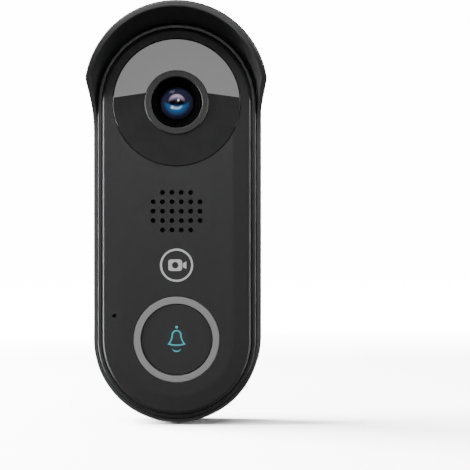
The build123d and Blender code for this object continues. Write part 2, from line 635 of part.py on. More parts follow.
with BuildPart() as wire_clamps:
    for x in TERMINAL_PITCH:
        disc((x, CABLE_Z), TERMINAL_HEAD_R, TERMINAL_BACK + 1.8, TERMINAL_BACK + 2.5)
        disc((x, CABLE_Z), 1.5, TERMINAL_BACK + 1.8, TERMINAL_BACK + 2.5, mode=Mode.SUBTRACT)
finish(wire_clamps, "wire_clamps")

with BuildPart() as reset_switch:
    block(RESET_AT, 4.0, 4.0, RESET_TIP + RESET_TRAVEL + 0.1, MAIN_BOARD)
finish(reset_switch, "reset_switch")

with BuildPart() as reset_button:
    disc(RESET_AT, RESET_R, TRAY_FLOOR + 0.4, CASE_FLOOR)
    disc(RESET_AT, RESET_R + 1.2, CASE_FLOOR + 0.05, CASE_FLOOR + 0.9)
    disc(RESET_AT, RESET_R, CASE_FLOOR, CASE_FLOOR + 0.05)
    disc(RESET_AT, 1.2, CASE_FLOOR + 0.9, RESET_TIP)
finish(reset_button, "reset_button")

with BuildPart() as microphone:
    block((MIC_X, MIC_Z), 2.9, 3.8, MAIN_FRONT, MAIN_FRONT + 1.1)
finish(microphone, "microphone")

with BuildPart() as microphone_boot:
    disc((MIC_X, MIC_Z), MIC_BOOT_R, MAIN_FRONT + 1.1, COVER_BACK)
    disc((MIC_X, MIC_Z), MIC_HOLE_R, MAIN_FRONT + 1.1, COVER_BACK, mode=Mode.SUBTRACT)
finish(microphone_boot, "microphone_boot")


# ---------------------------------------------------------------- speaker
with BuildPart() as speaker_mesh:
    disc((0, SPEAKER_Z), SPEAKER_R, COVER_BACK - 0.3, COVER_BACK)
finish(speaker_mesh, "speaker_mesh")

with BuildPart() as speaker_gasket:
    disc((0, SPEAKER_Z), SPEAKER_R, SPEAKER_FACE, COVER_BACK - 0.3)
    disc((0, SPEAKER_Z), SPEAKER_R - 2.0, SPEAKER_FACE, COVER_BACK - 0.3, mode=Mode.SUBTRACT)
finish(speaker_gasket, "speaker_gasket")

with BuildPart() as speaker_frame:
    turned((0, SPEAKER_Z), [
        (0, SPEAKER_BACK),
        (6.5, SPEAKER_BACK),
        (6.5, SPEAKER_BACK + 2.8),
        (SPEAKER_R, SPEAKER_FACE - 1.6),
        (SPEAKER_R, SPEAKER_FACE),
        (SPEAKER_R - 1.8, SPEAKER_FACE),
        (SPEAKER_R - 1.8, SPEAKER_FACE - 1.0),
        (5.8, SPEAKER_BACK + 3.6),
        (5.8, SPEAKER_BACK + 0.8),
        (0, SPEAKER_BACK + 0.8),
    ])
finish(speaker_frame, "speaker_frame")

with BuildPart() as speaker_magnet:
    disc((0, SPEAKER_Z), 4.0, SPEAKER_BACK + 0.8, SPEAKER_BACK + 3.2)
finish(speaker_magnet, "speaker_magnet")

with BuildPart() as speaker_cone:
    turned((0, SPEAKER_Z), [
        (0, CONE_FACE - 0.9),
        (4.4, CONE_FACE - 0.9),
        (4.4, CONE_FACE - 3.4),
        (5.0, CONE_FACE - 3.4),
        (5.0, CONE_FACE - 0.9),
        (SPEAKER_R - 2.1, CONE_FACE - 0.3),
        (SPEAKER_R - 2.1, CONE_FACE),
        (5.0, CONE_FACE - 0.5),
        (0, CONE_FACE),
    ])
finish(speaker_cone, "speaker_cone")


# ---------------------------------------------------------------- bell button
with BuildPart() as light_ring:
    disc((0, BUTTON_Z), RING_R + 1.0, COVER_BACK - 1.0, COVER_BACK)
    disc((0, BUTTON_Z), RING_R, COVER_BACK, COVER_FACE)
    fillet(flat_edges(light_ring, COVER_FACE), 0.25)
    disc((0, BUTTON_Z), RING_HOLE_R, COVER_BACK - 1.0, COVER_FACE, mode=Mode.SUBTRACT)
finish(light_ring, "light_ring")

bell_top, bell_shoulder, bell_hem, bell_sag = (BUTTON_Z + rise for rise in (3.5, 1.8, -1.7, -2.25))
clapper = bell_hem - 1.5
with BuildSketch(facing(CAP_FACE)) as bell:
    with BuildLine():
        ThreePointArc((-1.8, bell_shoulder), (0, bell_top), (1.8, bell_shoulder))
        ThreePointArc((1.8, bell_shoulder), (2.1, BUTTON_Z + 0.2), (3.3, bell_hem))
        ThreePointArc((3.3, bell_hem), (0, bell_sag), (-3.3, bell_hem))
        ThreePointArc((-3.3, bell_hem), (-2.1, BUTTON_Z + 0.2), (-1.8, bell_shoulder))
    make_face()
    offset(amount=-BELL_LINE, mode=Mode.SUBTRACT)
    with Locations((0, bell_top + 1.0)):
        Circle(BELL_LINE)
    with BuildLine():
        ThreePointArc((-1.6, clapper), (0, clapper - 0.8), (1.6, clapper))
        ThreePointArc((-1.6, clapper), (0, clapper - 0.8 - BELL_LINE), (1.6, clapper))
    make_face()

with BuildPart() as button_cap:
    disc((0, BUTTON_Z), CAP_R, CAP_END, CAP_FACE)
    fillet(flat_edges(button_cap, CAP_FACE), 0.35)
    disc((0, BUTTON_Z), CAP_FLANGE_R, CAP_END, COVER_BACK - 1.0 - 0.05)
    disc((0, BUTTON_Z), CAP_R - CAP_SKIRT, CAP_END, CAP_BACK, mode=Mode.SUBTRACT)
    disc((0, BUTTON_Z), POST_R, POST_END, CAP_BACK)
    extrude(bell.sketch, amount=-BELL_INLAY, mode=Mode.SUBTRACT)
finish(button_cap, "button_cap")

with BuildPart() as bell_icon:
    extrude(bell.sketch, amount=-BELL_INLAY)
finish(bell_icon, "bell_icon")

with BuildPart() as button_spring:
    coil_start = SWITCH_SEAT + SPRING_WIRE
    coil_height = CAP_BACK - SWITCH_SEAT - 2 * SPRING_WIRE
    with BuildLine() as coil:
        Helix(coil_height / SPRING_TURNS, coil_height, SPRING_R, (0, -coil_start, BUTTON_Z), (0, -1, 0))
    with BuildSketch(Plane(coil.line @ 0, z_dir=coil.line % 0)):
        Circle(SPRING_WIRE)
    sweep(path=coil.line)
finish(button_spring, "button_spring")

with BuildPart() as bell_switch:
    block((0, BUTTON_Z), SWITCH_W, SWITCH_W, SWITCH_SEAT, SWITCH_TOP)
    disc((0, BUTTON_Z), PLUNGER_R + 0.06, SWITCH_TOP - 2.2, SWITCH_TOP, mode=Mode.SUBTRACT)
finish(bell_switch, "bell_switch")

with BuildPart() as switch_plunger:
    disc((0, BUTTON_Z), PLUNGER_R, SWITCH_TOP - 1.4, POST_END)
finish(switch_plunger, "switch_plunger")

with BuildPart() as button_board:
    disc((0, BUTTON_Z), BUTTON_BOARD_R, BUTTON_BOARD, SWITCH_SEAT)
finish(button_board, "button_board")

with BuildPart() as ring_lamps:
    for place in around((0, BUTTON_Z), RING_LAMP_CIRCLE, RING_LAMPS):
        block(place, 1.6, 1.6, SWITCH_SEAT, SWITCH_SEAT + 0.7)
finish(ring_lamps, "ring_lamps")

with BuildPart() as board_pillars:
    for place in around((0, BUTTON_Z), BUTTON_BOARD_R - 2.0, 4, start=45):
        disc(place, 1.4, MAIN_FRONT, BUTTON_BOARD)
finish(board_pillars, "board_pillars")

with BuildPart() as pin_header:
    block((0, BUTTON_Z - 6.0), 10.0, 2.5, MAIN_FRONT, BUTTON_BOARD)
finish(pin_header, "pin_header")

with BuildPart() as speaker_contacts:
    for x in (-3.0, 3.0):
        block((x, SPEAKER_Z), 1.2, 2.6, MAIN_FRONT, SPEAKER_BACK)
finish(speaker_contacts, "speaker_contacts")

with BuildPart() as lamp_leads:
    for x in (-8.0, -6.5):
        disc((x, WINDOW_Z - 13.0), 0.45, CAMERA_FRONT, LAMP_BOARD)
finish(lamp_leads, "lamp_leads")

with BuildPart() as camera_ribbon:
    high = WINDOW_Z - CAMERA_BOARD_R
    with BuildLine(Plane.YZ) as ribbon_path:
        FilletPolyline(
            (-CAMERA_FRONT - RIBBON / 2, high + 3.0),
            (-CAMERA_FRONT - RIBBON / 2, high - 1.0),
            (-MAIN_FRONT - RIBBON / 2, MAIN_BOARD_TOP + 1.0),
            (-MAIN_FRONT - RIBBON / 2, MAIN_BOARD_TOP - 3.0),
            radius=0.8,
        )
    with BuildSketch(Plane(ribbon_path.line @ 0, x_dir=(1, 0, 0), z_dir=ribbon_path.line % 0)):
        Rectangle(8.0, RIBBON)
    sweep(path=ribbon_path.line)
finish(camera_ribbon, "camera_ribbon")
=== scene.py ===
"""Finishes, floor and studio light for a video doorbell seated in its hooded rain cover."""
import logging
import math
from dataclasses import dataclass
from enum import Enum

import bmesh
import bpy
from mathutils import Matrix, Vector


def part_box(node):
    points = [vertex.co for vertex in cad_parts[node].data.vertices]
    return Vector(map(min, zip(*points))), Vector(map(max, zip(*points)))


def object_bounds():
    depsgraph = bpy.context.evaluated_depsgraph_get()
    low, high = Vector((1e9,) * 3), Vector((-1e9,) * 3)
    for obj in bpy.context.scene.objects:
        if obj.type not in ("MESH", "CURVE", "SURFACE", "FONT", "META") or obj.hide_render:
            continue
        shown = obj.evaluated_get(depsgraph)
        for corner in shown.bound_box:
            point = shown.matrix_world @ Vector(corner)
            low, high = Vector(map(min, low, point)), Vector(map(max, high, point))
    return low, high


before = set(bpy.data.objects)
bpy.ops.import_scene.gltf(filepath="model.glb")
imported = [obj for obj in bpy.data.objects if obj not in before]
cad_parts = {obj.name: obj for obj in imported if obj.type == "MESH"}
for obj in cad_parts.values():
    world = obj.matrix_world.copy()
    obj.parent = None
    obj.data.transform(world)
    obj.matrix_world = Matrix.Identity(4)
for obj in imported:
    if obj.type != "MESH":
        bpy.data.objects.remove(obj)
CAD_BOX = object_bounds()

LOG = logging.getLogger("doorbell")
MM = 0.001
Colour = tuple[float, float, float]
BLACK = (0.0, 0.0, 0.0)
WHITE = (1.0, 1.0, 1.0)
HALF = 0.5  # times a sine, plus this, runs from 0 to 1
ONE_LAYER = 1.0  # of detail in a noise
FEW_LAYERS = 2.0


# ---------------------------------------------------------------- shader writing
class Signal:
    """A number that varies over a surface, written with Python's own operators."""

    def __init__(self, graph: "Graph", socket: bpy.types.NodeSocket) -> None:
        """Wraps one output socket.

        Args:
            graph: the graph that it belongs to.
            socket: the output socket.
        """
        self.graph = graph
        self.socket = socket

    def _join(self, operation: str, left: "Signal | float", right: "Signal | float") -> "Signal":
        """Adds one Math node.

        Args:
            operation: the Math node's operation.
            left: its first value.
            right: its second value.

        Returns:
            The node's result.
        """
        return self.graph.node("ShaderNodeMath", {"operation": operation}, {0: left, 1: right})

    def __add__(self, other: "Signal | float") -> "Signal":
        """self + other."""
        return self._join("ADD", self, other)

    def __radd__(self, other: float) -> "Signal":
        """other + self."""
        return self._join("ADD", other, self)

    def __sub__(self, other: "Signal | float") -> "Signal":
        """self - other."""
        return self._join("SUBTRACT", self, other)

    def __rsub__(self, other: float) -> "Signal":
        """other - self."""
        return self._join("SUBTRACT", other, self)

    def __mul__(self, other: "Signal | float") -> "Signal":
        """self * other."""
        return self._join("MULTIPLY", self, other)

    def __rmul__(self, other: float) -> "Signal":
        """other * self."""
        return self._join("MULTIPLY", other, self)

    def __truediv__(self, other: "Signal | float") -> "Signal":
        """self / other."""
        return self._join("DIVIDE", self, other)

    def __pow__(self, other: float) -> "Signal":
        """self ** other."""
        return self._join("POWER", self, other)

    def ramp(self, low: float, high: float) -> "Signal":
        """Rises smoothly from 0 to 1.

        Args:
            low: the value that gives 0.
            high: the value that gives 1.

        Returns:
            The eased share, from 0 to 1.
        """
        settings = {"interpolation_type": "SMOOTHSTEP"}
        links = {"Value": self, "From Min": low, "From Max": high}
        return self.graph.node("ShaderNodeMapRange", settings, links)


@dataclass(frozen=True)
class Edge:
    """A soft edge between two values."""

    start: float
    end: float

    def past(self, value: Signal) -> Signal:
        """Where a value is past the edge.

        Args:
            value: what is compared.

        Returns:
            0 before the edge, 1 past it.
        """
        return value.ramp(self.start, self.end)

    def before(self, value: Signal) -> Signal:
        """Where a value is before the edge.

        Args:
            value: what is compared.

        Returns:
            1 before the edge, 0 past it.
        """
        return 1 - self.past(value)


class Graph:
    """A material's node tree, with the few ways of adding to it that the finishes use."""

    def __init__(self, name: str) -> None:
        """Starts an empty material.

        Args:
            name: the material's name.
        """
        self.material = bpy.data.materials.new(name)
        self.material.use_nodes = True
        self.tree = self.material.node_tree
        self.tree.nodes.clear()
        self.place = self.node("ShaderNodeTexCoord", out="Object")

    def node(self, kind: str, settings: dict | None = None, links: dict | None = None,
             out: "int | str" = 0) -> Signal:
        """Adds any node.

        Args:
            kind: the node's type.
            settings: its properties, set first.
            links: socket name or number, to a Signal or a constant.
            out: the output to hand back.

        Returns:
            That output.
        """
        made = self.tree.nodes.new(kind)
        for key, value in (settings or {}).items():
            setattr(made, key, value)
        for key, value in (links or {}).items():
            if isinstance(value, Signal):
                self.tree.links.new(value.socket, made.inputs[key])
            else:
                made.inputs[key].default_value = value
        return Signal(self, made.outputs[out])

    def noise(self, size: float, detail: float = 3.0, place: Signal | None = None) -> Signal:
        """Cloudy noise.

        Args:
            size: metres across one blotch.
            detail: how many finer layers it has.
            place: where it is read, the object's own space if left out.

        Returns:
            A value near 0.5.
        """
        links = {"Vector": place or self.place, "Scale": 1.0 / size, "Detail": detail}
        return self.node("ShaderNodeTexNoise", None, links, "Fac")

    def stretched(self, scale: Colour) -> Signal:
        """The object's own space, stretched.

        Args:
            scale: the factor along each axis.

        Returns:
            The stretched place.
        """
        links = {0: self.place, 1: scale}
        return self.node("ShaderNodeVectorMath", {"operation": "MULTIPLY"}, links, "Vector")

    def sine(self, value: Signal) -> Signal:
        """A wave.

        Args:
            value: the angle in radians.

        Returns:
            Its sine.
        """
        return self.node("ShaderNodeMath", {"operation": "SINE"}, {0: value})

    def axes(self) -> tuple[Signal, Signal]:
        """Where each point is.

        Returns:
            How far right and how far up it is, in metres.
        """
        split = self.tree.nodes.new("ShaderNodeSeparateXYZ")
        self.tree.links.new(self.place.socket, split.inputs[0])
        return Signal(self, split.outputs["X"]), Signal(self, split.outputs["Z"])

    def mix(self, share: "Signal | float", low: "Signal | Colour", high: "Signal | Colour") -> Signal:
        """Mixes two colours.

        Args:
            share: 0 for the first, 1 for the second.
            low: the first colour.
            high: the second colour.

        Returns:
            The mixed colour.
        """
        ends = [c if isinstance(c, Signal) else (*c, 1.0) for c in (low, high)]
        return self.node("ShaderNodeMix", {"data_type": "RGBA"}, {0: share, 6: ends[0], 7: ends[1]}, 2)

    def bump(self, height: Signal, depth: float) -> Signal:
        """A surface normal disturbed by a height.

        Args:
            height: from 0 to 1.
            depth: metres from lowest to highest.

        Returns:
            The normal.
        """
        return self.node("ShaderNodeBump", None, {"Height": height, "Distance": depth, "Strength": 1.0})

    def surface(self, **sockets: "Signal | float | tuple") -> bpy.types.Material:
        """Ends the graph in a Principled shader.

        Args:
            sockets: its inputs, with underscores for spaces.

        Returns:
            The finished material.
        """
        named = {}
        for key, value in sockets.items():
            label = " ".join(word if word == "IOR" else word.capitalize() for word in key.split("_"))
            named[label] = (*value, 1.0) if isinstance(value, tuple) and len(value) == 3 else value
        shader = self.node("ShaderNodeBsdfPrincipled", None, named)
        end = self.tree.nodes.new("ShaderNodeOutputMaterial")
        self.tree.links.new(shader.socket, end.inputs["Surface"])
        return self.material


def scaled(colour: Colour, factor: float) -> Colour:
    """A colour made lighter or darker.

    Args:
        colour: the colour.
        factor: under 1 for darker, over 1 for lighter.

    Returns:
        The new colour.
    """
    return (colour[0] * factor, colour[1] * factor, colour[2] * factor)


# ---------------------------------------------------------------- finishes
class Grain(Enum):
    """How coarse the texture cut into a mould is, in metres across one pit."""

    FINE = 0.22e-3
    COARSE = 0.42e-3


@dataclass(frozen=True)
class Moulded:
    """Moulded plastic or rubber with a spark-eroded grain and slight flow marks."""

    name: str
    colour: Colour
    roughness: float = 0.5
    grain: Grain = Grain.FINE
    depth: float = 0.012e-3
    cloud: float = 0.08
    specular: float = 0.5
    flow_size: float = 14 * MM
    flow_share: float = 0.7
    unevenness: float = 0.12

    def material(self) -> bpy.types.Material:
        """Builds the finish.

        Returns:
            The material.
        """
        graph = Graph(self.name)
        flow = graph.noise(self.flow_size, FEW_LAYERS)
        pits = graph.noise(self.grain.value, FEW_LAYERS)
        share = flow * self.flow_share + pits * (1 - self.flow_share)
        colour = graph.mix(share, scaled(self.colour, 1 - self.cloud), scaled(self.colour, 1 + self.cloud))
        smoothest = self.roughness - self.unevenness / 2
        return graph.surface(base_color=colour, roughness=smoothest + pits * self.unevenness,
                             specular_IOR_level=self.specular, normal=graph.bump(pits, self.depth))


@dataclass(frozen=True)
class Metal:
    """Drawn or plated metal with fine lines along one axis."""

    name: str
    colour: Colour
    roughness: float = 0.32
    lines: Colour = (1.0, 1.0, 14.0)
    line_width: float = 0.5 * MM
    line_depth: float = 0.004 * MM
    unevenness: float = 0.16
    shade: float = 0.85

    def material(self) -> bpy.types.Material:
        """Builds the finish.

        Returns:
            The material.
        """
        graph = Graph(self.name)
        streaks = graph.noise(self.line_width, place=graph.stretched(self.lines))
        colour = graph.mix(streaks, scaled(self.colour, self.shade), self.colour)
        smoothest = self.roughness - self.unevenness / 2
        return graph.surface(base_color=colour, metallic=1.0,
                             roughness=smoothest + streaks * self.unevenness,
                             normal=graph.bump(streaks, self.line_depth))


@dataclass(frozen=True)
class Board:
    """Solder resist over copper tracks."""

    name: str
    colour: Colour = (0.02, 0.12, 0.05)
    track: Colour = (0.05, 0.22, 0.09)
    track_pitch: float = 2.2 * MM
    track_edge: Edge = Edge(0.05, 0.09)
    track_height: float = 0.02 * MM
    roughness: float = 0.3
    track_roughness: float = 0.4

    def material(self) -> bpy.types.Material:
        """Builds the finish.

        Returns:
            The material.
        """
        graph = Graph(self.name)
        cells = graph.node("ShaderNodeTexVoronoi", {"feature": "DISTANCE_TO_EDGE"},
                           {"Vector": graph.place, "Scale": 1.0 / self.track_pitch}, "Distance")
        tracks = self.track_edge.before(cells)
        colour = graph.mix(tracks, self.colour, self.track)
        rougher = tracks * (self.track_roughness - self.roughness)
        return graph.surface(base_color=colour, roughness=self.roughness + rougher,
                             normal=graph.bump(tracks, self.track_height))


@dataclass(frozen=True)
class Weave:
    """Woven mesh or pressed membrane, threads crossing along X and Z."""

    name: str
    colour: Colour
    pitch: float = 0.25 * MM
    thread_depth: float = 0.05 * MM
    shade: float = 0.6
    roughness: float = 0.7
    unevenness: float = 0.15

    def material(self) -> bpy.types.Material:
        """Builds the finish.

        Returns:
            The material.
        """
        graph = Graph(self.name)
        across, upward = graph.axes()
        turn = 2 * math.pi / self.pitch
        threads = graph.sine(across * turn) * graph.sine(upward * turn) * HALF + HALF
        colour = graph.mix(threads, scaled(self.colour, self.shade), self.colour)
        return graph.surface(base_color=colour, roughness=self.roughness + threads * self.unevenness,
                             normal=graph.bump(threads, self.thread_depth))


@dataclass(frozen=True)
class SmokedWindow:
    """Polished smoked sheet with the faintest unevenness."""

    name: str
    colour: Colour = (0.021, 0.021, 0.022)
    haze_size: float = 6 * MM
    cloud: float = 0.2
    roughest: float = 0.004
    refraction: float = 1.5

    def material(self) -> bpy.types.Material:
        """Builds the finish.

        Returns:
            The material.
        """
        graph = Graph(self.name)
        haze = graph.noise(self.haze_size, FEW_LAYERS)
        colour = graph.mix(haze, scaled(self.colour, 1 - self.cloud), scaled(self.colour, 1 + self.cloud))
        return graph.surface(base_color=colour, roughness=haze * self.roughest, IOR=self.refraction)


@dataclass(frozen=True)
class CoatedLensWithPaintedReflections:
    """Coated glass over an iris with a violet rim, with painted reflections on it: a pale bowed band above,
    a deep blue patch and a pale blue curve below, and two white painted highlights.

    Lengths and edges are shares of the glass's radius, measured from its centre.
    """

    name: str
    centre_z: float
    radius: float
    rim: Colour = (0.02, 0.02, 0.045)
    halo: Colour = (0.022, 0.022, 0.055)
    # painted reflections: the pale violet next is a softbox reflected above the pupil, the two blues after
    # the dark pupil are reflections below it, and the white last is for painted highlights
    crescent_reflection: Colour = (0.75, 0.6, 0.85)
    band: Colour = (0.002, 0.002, 0.006)
    blue_reflection: Colour = (0.035, 0.17, 0.45)
    arc_reflection: Colour = (0.42, 0.72, 1.0)
    spark: Colour = (0.9, 0.92, 0.95)
    rim_edge: Edge = Edge(0.62, 1.0)
    ring_turns: float = 34.0
    ring_share: float = 0.3
    pupil_edge: Edge = Edge(0.54, 0.66)
    # where the painted reflections lie on the glass
    crescent_bow: float = 0.55
    crescent_foot: Edge = Edge(0.1, 0.62)
    crescent_top: Edge = Edge(0.42, 0.6)
    blue_reflection_bow: float = 0.5
    blue_reflection_top: Edge = Edge(-0.34, -0.08)
    blue_reflection_foot: Edge = Edge(0.4, 0.9)
    arc_inner: Edge = Edge(0.2, 0.33)
    arc_outer: Edge = Edge(0.35, 0.47)
    arc_ends: Edge = Edge(-0.3, -0.12)
    # two painted highlights, each given as how far right, how far up and how wide
    painted_glints: tuple = ((0.1, 0.165, 0.095), (-0.27, -0.28, 0.125))
    dust_size: float = 2 * MM
    roughness: float = 0.04
    dust_roughness: float = 0.02
    specular: float = 0.04

    def material(self) -> bpy.types.Material:
        """Builds the finish.

        Returns:
            The material.
        """
        graph = Graph(self.name)
        across, upward = graph.axes()
        x = across / self.radius
        z = (upward - self.centre_z) / self.radius
        out = (x * x + z * z) ** 0.5
        rings = graph.sine(out * self.ring_turns) * HALF + HALF
        # painted reflections: a pale bowed band above, a deep blue patch and a pale blue curve below
        above = self.crescent_foot.past(z + x * x * self.crescent_bow) * self.crescent_top.before(out)
        below = self.blue_reflection_top.before(z - x * x * self.blue_reflection_bow) * self.blue_reflection_foot.before(out)
        arc_reflection = self.arc_inner.past(out) * self.arc_outer.before(out) * self.arc_ends.before(z)
        colour = graph.mix(self.rim_edge.past(out), self.halo, self.rim)
        layers = ((rings * self.ring_share, self.rim), (self.pupil_edge.before(out), self.band),
                  (below, self.blue_reflection), (arc_reflection, self.arc_reflection), (above, self.crescent_reflection))
        for share, tint in layers:
            colour = graph.mix(share, colour, tint)
        # painted highlights: small white spots mixed into the colour
        for glint_x, glint_z, size in self.painted_glints:
            nearness = ((x - glint_x) * (x - glint_x) + (z - glint_z) * (z - glint_z)) ** 0.5
            colour = graph.mix(Edge(size / 2, size).before(nearness), colour, self.spark)
        dust = graph.noise(self.dust_size, FEW_LAYERS)
        return graph.surface(base_color=colour, roughness=self.roughness + dust * self.dust_roughness,
                             specular_IOR_level=self.specular)


@dataclass(frozen=True)
class LitIcon:
    """Clear inlay lit from behind."""

    name: str
    colour: Colour
    strength: float
    spread_size: float = 1.5 * MM
    shade: float = 0.85
    roughness: float = 0.35
    unevenness: float = 0.05

    def material(self) -> bpy.types.Material:
        """Builds the finish.

        Returns:
            The material.
        """
        graph = Graph(self.name)
        spread = graph.noise(self.spread_size, ONE_LAYER)
        glow = graph.mix(spread, scaled(self.colour, self.shade), self.colour)
        return graph.surface(base_color=glow, roughness=self.roughness + spread * self.unevenness,
                             emission_color=glow, emission_strength=self.strength)


@dataclass(frozen=True)
class GlowingCap:
    """Satin plastic that lets a little of the icon's light through round it."""

    name: str
    colour: Colour
    centre_z: float
    glow: Colour = (0.0, 0.011, 0.013)
    reach: Edge = Edge(2 * MM, 5.2 * MM)
    cloud: float = 0.08
    roughness: float = 0.42
    unevenness: float = 0.1
    depth: float = 0.01 * MM

    def material(self) -> bpy.types.Material:
        """Builds the finish.

        Returns:
            The material.
        """
        graph = Graph(self.name)
        across, upward = graph.axes()
        z = upward - self.centre_z
        share = self.reach.before((across * across + z * z) ** 0.5)
        pits = graph.noise(Grain.FINE.value, FEW_LAYERS)
        colour = graph.mix(pits, scaled(self.colour, 1 - self.cloud), scaled(self.colour, 1 + self.cloud))
        return graph.surface(base_color=colour, roughness=self.roughness + pits * self.unevenness,
                             emission_color=graph.mix(share, BLACK, self.glow), emission_strength=1.0,
                             normal=graph.bump(pits, self.depth))


# ---------------------------------------------------------------- sub-assemblies
@dataclass
class Assembly:
    """CAD nodes that keep their shape and get a finish.

    finishes maps each finish to the names of the nodes that wear it.
    """

    title: str
    finishes: dict

    def dress(self) -> None:
        """Gives each node its finish and reports it."""
        for finish, nodes in self.finishes.items():
            material = finish.material()
            for name in nodes:
                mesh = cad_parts[name].data
                mesh.materials.clear()
                mesh.materials.append(material)
                LOG.info("%s: %s in %s", self.title, name, material.name)


@dataclass
class RainCover(Assembly):
    """The wall tray with its hood, and the screw that holds the doorbell in it."""

    @classmethod
    def standard(cls) -> "RainCover":
        """The cover in its usual finishes.

        Returns:
            The sub-assembly.
        """
        return cls("rain cover", {
            Moulded("tray_black", (0.052, 0.052, 0.053), 0.4, Grain.COARSE, specular=0.5): ("rain_cover",),
            Metal("screw_steel", (0.45, 0.45, 0.46)): (
                "security_screw", "case_screws", "board_screws", "terminal_screws"),
        })


@dataclass
class Shells(Assembly):
    """The rear case, the front cover, their seals and the sign."""

    @classmethod
    def standard(cls) -> "Shells":
        """The shells in their usual finishes.

        Returns:
            The sub-assembly.
        """
        return cls("shells", {
            Moulded("case_black", (0.03, 0.03, 0.031), 0.3): ("rear_case",),
            Moulded("cover_black", (0.024, 0.024, 0.025), 0.36, specular=0.45): ("front_cover",),
            Moulded("rubber_black", (0.02, 0.02, 0.02), 0.8, Grain.COARSE): (
                "case_gasket", "microphone_boot", "speaker_gasket", "window_adhesive", "lamp_leads"),
            Moulded("sign_white", (0.45, 0.45, 0.45), 0.55, cloud=0.03): ("front_sign",),
            Weave("vent_white", (0.8, 0.8, 0.8), 0.2 * MM): ("vent_membrane",),
        })


@dataclass
class CameraUnit(Assembly):
    """Everything behind and around the round window."""

    @classmethod
    def standard(cls) -> "CameraUnit":
        """The camera in its usual finishes.

        Returns:
            The sub-assembly.
        """
        low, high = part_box("front_lens")
        # the lens glass carries painted reflections and painted highlights in its colour
        lens = CoatedLensWithPaintedReflections("lens_painted_reflections", (low.z + high.z) / 2, (high.x - low.x) / 2)
        return cls("camera", {
            SmokedWindow("window_smoked"): ("camera_window",),
            Moulded("bezel_grey", (0.03, 0.03, 0.031), 0.5, specular=0.4): ("lens_bezel",),
            Moulded("barrel_black", (0.0008, 0.0008, 0.0008), 0.8, specular=0.05): (
                "lens_barrel", "lens_mount", "filter_frame"),
            lens: ("front_lens",),
            SmokedWindow("inner_glass", (0.05, 0.09, 0.2)): ("rear_lens", "infrared_filter", "clear_pane"),
            SmokedWindow("lamp_clear", (0.6, 0.6, 0.56)): ("infrared_lamps", "ring_lamps", "light_sensor"),
        })


@dataclass
class BellButton(Assembly):
    """The thumb button, its lit bell and the ring round it."""

    @classmethod
    def standard(cls) -> "BellButton":
        """The button in its usual finishes.

        Returns:
            The sub-assembly.
        """
        low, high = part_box("button_cap")
        return cls("bell button", {
            GlowingCap("cap_black", (0.02, 0.02, 0.021), (low.z + high.z) / 2): ("button_cap",),
            LitIcon("icon_teal", (0.06, 0.34, 0.38), 0.36): ("bell_icon",),
            Moulded("ring_grey", (0.225, 0.225, 0.225), 0.38, cloud=0.03): ("light_ring",),
            Moulded("key_black", (0.03, 0.03, 0.03), 0.5): ("reset_button", "switch_plunger"),
            Metal("spring_steel", (0.6, 0.6, 0.6)): ("button_spring",),
        })


@dataclass
class Electronics(Assembly):
    """The boards and what is on them."""

    @classmethod
    def standard(cls) -> "Electronics":
        """The electronics in their usual finishes.

        Returns:
            The sub-assembly.
        """
        return cls("electronics", {
            Board("board_green"): (
                "infrared_board", "camera_board", "main_board", "button_board", "radio_board"),
            Moulded("chip_black", (0.02, 0.02, 0.022), 0.6): (
                "image_sensor", "processor", "filter_coil", "power_coil", "bell_switch", "reset_switch",
                "pin_header"),
            Metal("shield_steel", (0.6, 0.6, 0.6)): (
                "radio_shield", "buffer_capacitors", "microphone", "speaker_frame", "speaker_magnet"),
            Moulded("film_amber", (0.35, 0.18, 0.04), 0.3): ("antenna", "camera_ribbon"),
            Moulded("terminal_green", (0.03, 0.2, 0.08), 0.45): ("terminal_block",),
            Metal("contact_brass", (0.7, 0.55, 0.25)): ("wire_clamps", "speaker_contacts", "board_pillars"),
            Weave("mesh_black", (0.01, 0.01, 0.01)): ("speaker_mesh",),
            Moulded("cone_film", (0.06, 0.06, 0.06), 0.35): ("speaker_cone",),
        })


# ---------------------------------------------------------------- studio
def sheet(name: str, corners: list[Colour]) -> bpy.types.Object:
    """One flat staged polygon.

    Args:
        name: the object's name.
        corners: its corners in order, in metres.

    Returns:
        The object.
    """
    shape = bmesh.new()
    shape.faces.new([shape.verts.new(corner) for corner in corners])
    mesh = bpy.data.meshes.new(name)
    shape.to_mesh(mesh)
    shape.free()
    made = bpy.data.objects.new(name, mesh)
    bpy.context.scene.collection.objects.link(made)
    return made


@dataclass(frozen=True)
class Lamp:
    """One soft light, square unless it has a height of its own. Lengths in metres, power in watts."""

    name: str
    place: Colour
    aim: Colour
    width: float
    power: float
    height: float = 0.0

    def hang(self) -> bpy.types.Object:
        """Puts the light in the scene.

        Returns:
            The light.
        """
        light = bpy.data.lights.new(self.name, "AREA")
        light.shape, light.energy = "RECTANGLE", self.power
        light.size, light.size_y = self.width, self.height or self.width
        made = bpy.data.objects.new(self.name, light)
        made.location = self.place
        made.rotation_euler = (Vector(self.aim) - Vector(self.place)).to_track_quat("-Z", "Y").to_euler()
        bpy.context.scene.collection.objects.link(made)
        LOG.info("studio: %s", self.name)
        return made


KEY_LAMP = Lamp("key_light", (-0.22, -0.48, 0.6), (0, 0, 0.04), 0.22, 4.6)
FILL_LAMP = Lamp("fill_light", (0.12, -0.85, 0.8), (0, 0, 0), 0.4, 4.2)
SIDE_LAMPS = (
    Lamp("left_strip", (-0.6, -0.14, 0.0), (0, -0.03, 0), 0.08, 12.0, 0.7),
    Lamp("right_strip", (0.6, -0.12, 0.0), (0, -0.03, 0), 0.06, 4.0, 0.7),
)
FLOOR_LAMPS = (
    Lamp("floor_overhead", (0.0, -0.1, 1.5), (0, -0.1, -1), 2.2, 60.0),
    Lamp("floor_left", (-0.8, 0.15, 0.55), (0.1, 0, -0.07), 0.9, 260.0),
)


